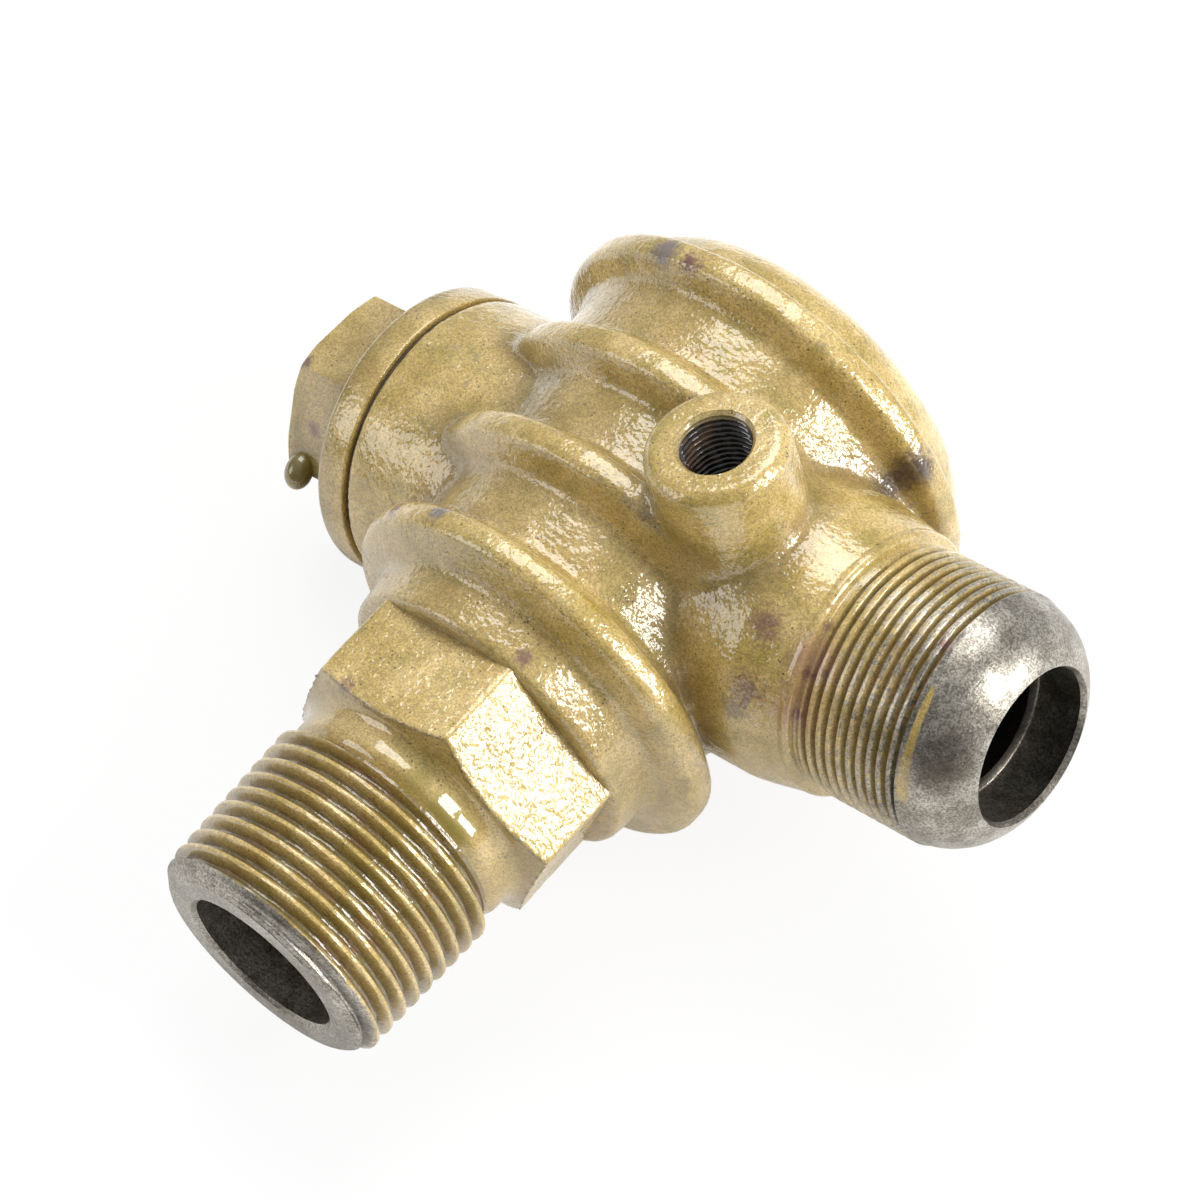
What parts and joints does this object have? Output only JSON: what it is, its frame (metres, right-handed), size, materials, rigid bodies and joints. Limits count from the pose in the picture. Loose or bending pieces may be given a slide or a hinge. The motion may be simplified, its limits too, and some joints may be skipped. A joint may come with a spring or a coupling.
{
  "type": "non-return valve",
  "caption": "Cast iron non-return valve for a compressed air tank, with taper tank thread, ball-nosed inlet, ribbed chamber, hexagon access plug and small outlet boss.",
  "frame": {"origin": "centre of the tank connection's end face", "axes": "+Y runs from the tank connection into the body, +X points out of the inlet, +Z out of the small outlet boss"},
  "size_m": [0.1112, 0.1055, 0.0619],
  "materials": {
    "lacquered_casting": "gold-olive metallic lacquer over a rough casting, bare grey iron on the machined ends",
    "lacquered_plug": "gold-olive metallic lacquer over a forged hexagon plug",
    "gasket_fibre": "dark fibre sealing ring",
    "spring_steel": "drawn round wire",
    "piston_brass": "turned",
    "seal_rubber": "matte black moulded rubber",
    "plated_steel": "zinc plated washer",
    "plated_screw": "zinc plated screw"
  },
  "bodies": {
    "housing": {"valve_body": "lacquered_casting", "hex_plug": "lacquered_plug", "plug_gasket": "gasket_fibre", "return_spring": "spring_steel"},
    "piston": {"valve_piston": "piston_brass", "seal_disc": "seal_rubber", "seal_washer": "plated_steel", "seal_screw": "plated_screw"}
  },
  "joints": [
    {"name": "piston_lift", "type": "slide", "parent": "housing", "child": "piston", "axis": [-1, 0, 0], "range_m": [0, 0.005], "stiffness_N_per_m": 400, "springref_m": -0.004, "deforming": ["return_spring"]}
  ]
}
